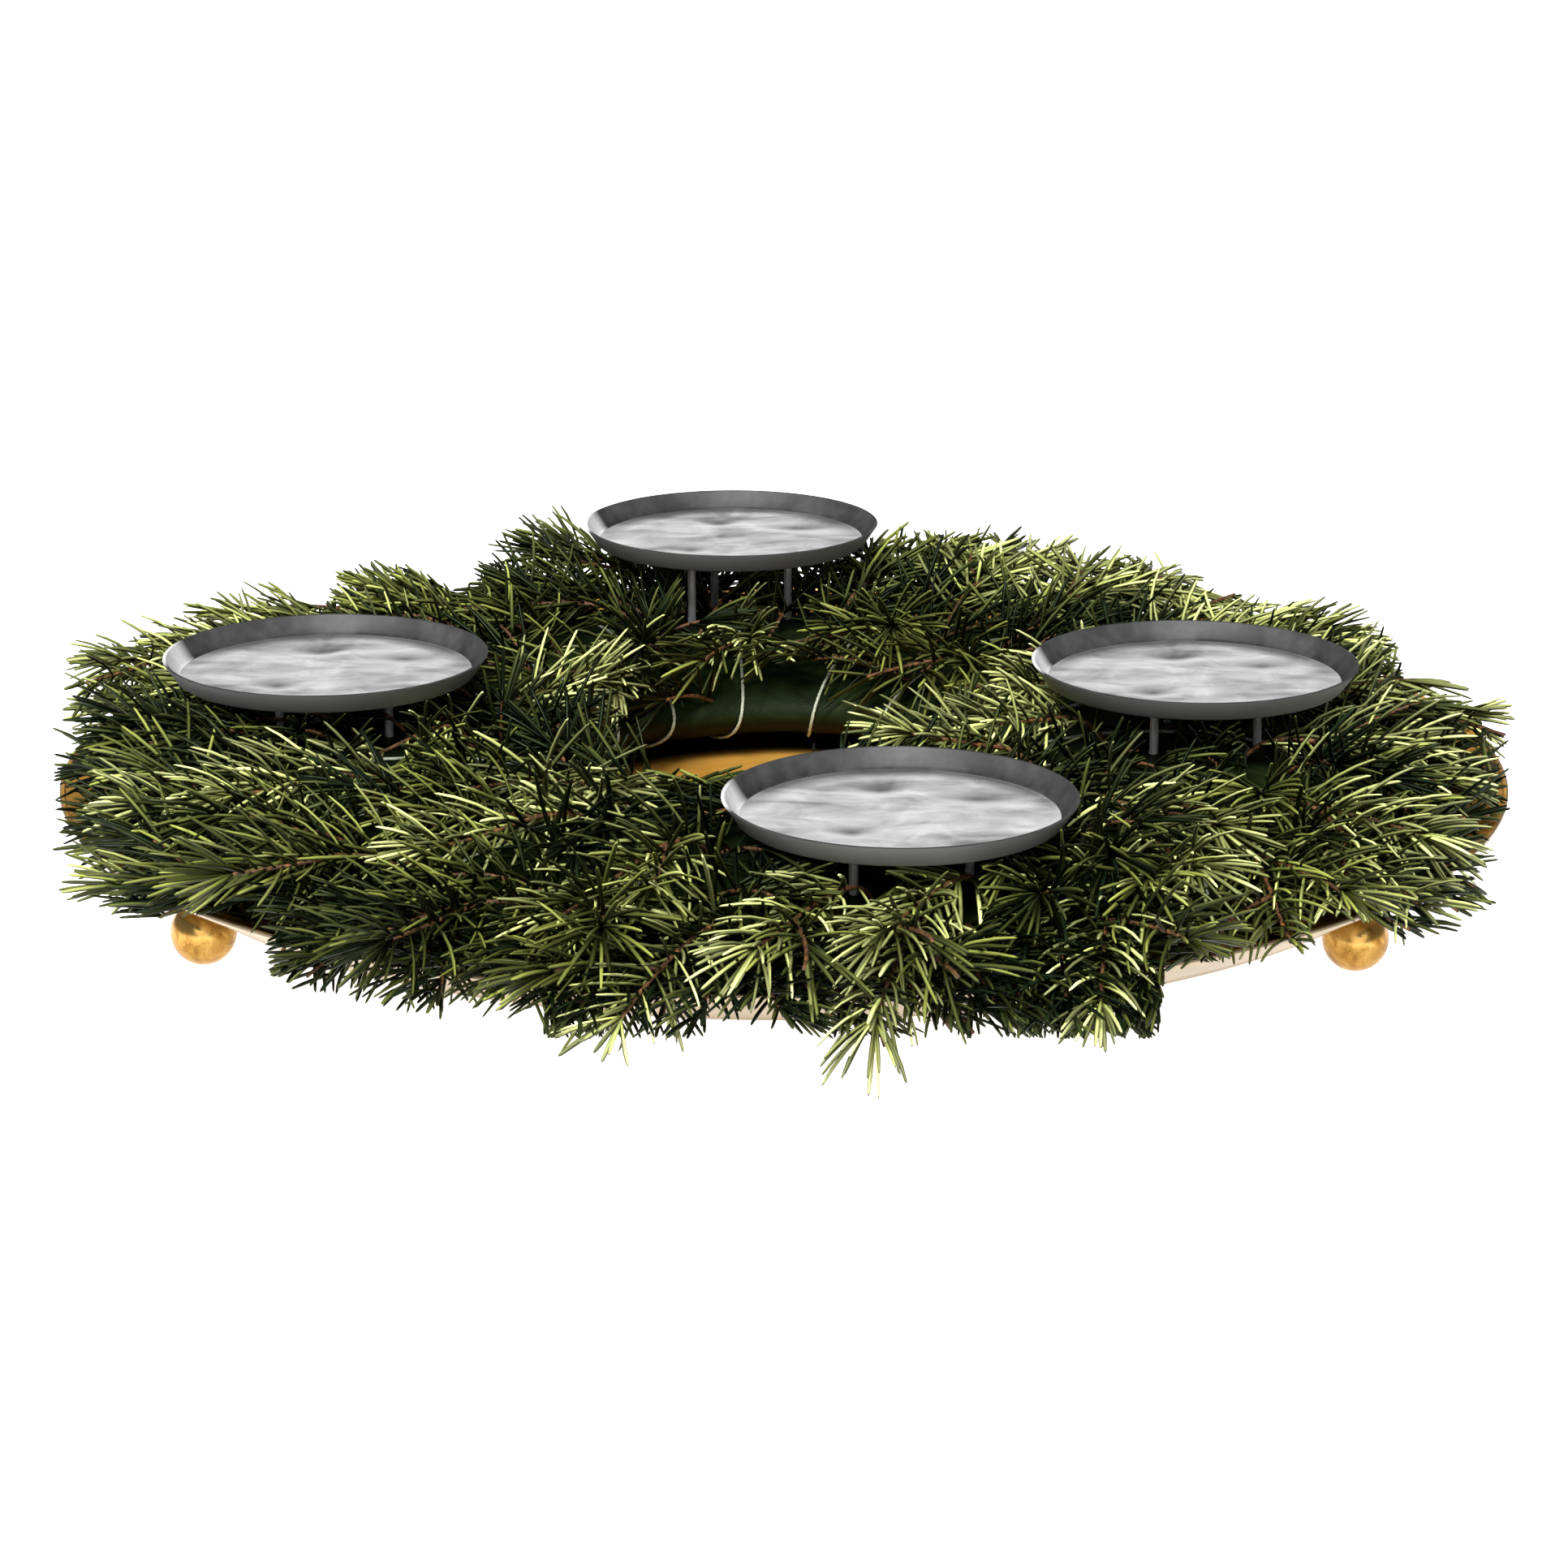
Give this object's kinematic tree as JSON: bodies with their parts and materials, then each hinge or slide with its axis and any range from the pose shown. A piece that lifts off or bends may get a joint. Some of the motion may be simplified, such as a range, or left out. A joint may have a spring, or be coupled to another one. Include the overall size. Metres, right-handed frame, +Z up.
{
  "type": "advent wreath",
  "caption": "Advent wreath of fir sprigs on a wrapped ring, with raised candle dishes on pins, lying in a shallow round metal tray on ball feet.",
  "frame": {"origin": "on the table under the middle of the whole piece, at the bottom of the ball feet", "axes": "+Z up, -Y towards the front candle dish, +X to the right seen from the front"},
  "size_m": [0.4051, 0.4228, 0.074],
  "materials": {
    "gold": "satin gold-coloured sheet",
    "brass": "polished, lightly aged",
    "green_film": "dark green film wrapped over straw",
    "thread": "pale grey-green twine",
    "steel": "satin sheet steel, darker rims",
    "dark_steel": "dark grey wire",
    "fir": "green fir needles on brown twigs"
  },
  "bodies": {
    "root": {"tray": "gold", "wreath_base": "green_film", "binding_thread": "thread", "foot_1": "brass", "foot_2": "brass", "foot_3": "brass", "dish_left": "steel", "dish_right": "steel", "dish_back": "steel", "dish_front": "steel", "pin_left_1": "dark_steel", "pin_left_2": "dark_steel", "pin_left_3": "dark_steel", "pin_right_1": "dark_steel", "pin_right_2": "dark_steel", "pin_right_3": "dark_steel", "pin_back_1": "dark_steel", "pin_back_2": "dark_steel", "pin_back_3": "dark_steel", "pin_front_1": "dark_steel", "pin_front_2": "dark_steel", "pin_front_3": "dark_steel", "sprig_left_1": "fir", "sprig_left_2": "fir", "sprig_left_3": "fir", "sprig_left_4": "fir", "sprig_left_5": "fir", "sprig_left_6": "fir", "sprig_left_7": "fir", "sprig_back_1": "fir", "sprig_back_2": "fir", "sprig_back_3": "fir", "sprig_back_4": "fir", "sprig_back_5": "fir", "sprig_back_6": "fir", "sprig_back_7": "fir", "sprig_back_8": "fir", "sprig_back_9": "fir", "sprig_right_1": "fir", "sprig_right_2": "fir", "sprig_right_3": "fir", "sprig_right_4": "fir", "sprig_right_5": "fir", "sprig_right_6": "fir", "sprig_front_1": "fir", "sprig_front_2": "fir", "sprig_front_3": "fir", "sprig_front_4": "fir", "sprig_front_5": "fir", "sprig_front_6": "fir", "sprig_inner_1": "fir", "sprig_inner_2": "fir", "sprig_inner_3": "fir", "sprig_inner_4": "fir", "sprig_inner_5": "fir", "sprig_inner_6": "fir", "sprig_inner_7": "fir", "sprig_inner_8": "fir", "sprig_inner_9": "fir"}
  },
  "joints": []
}
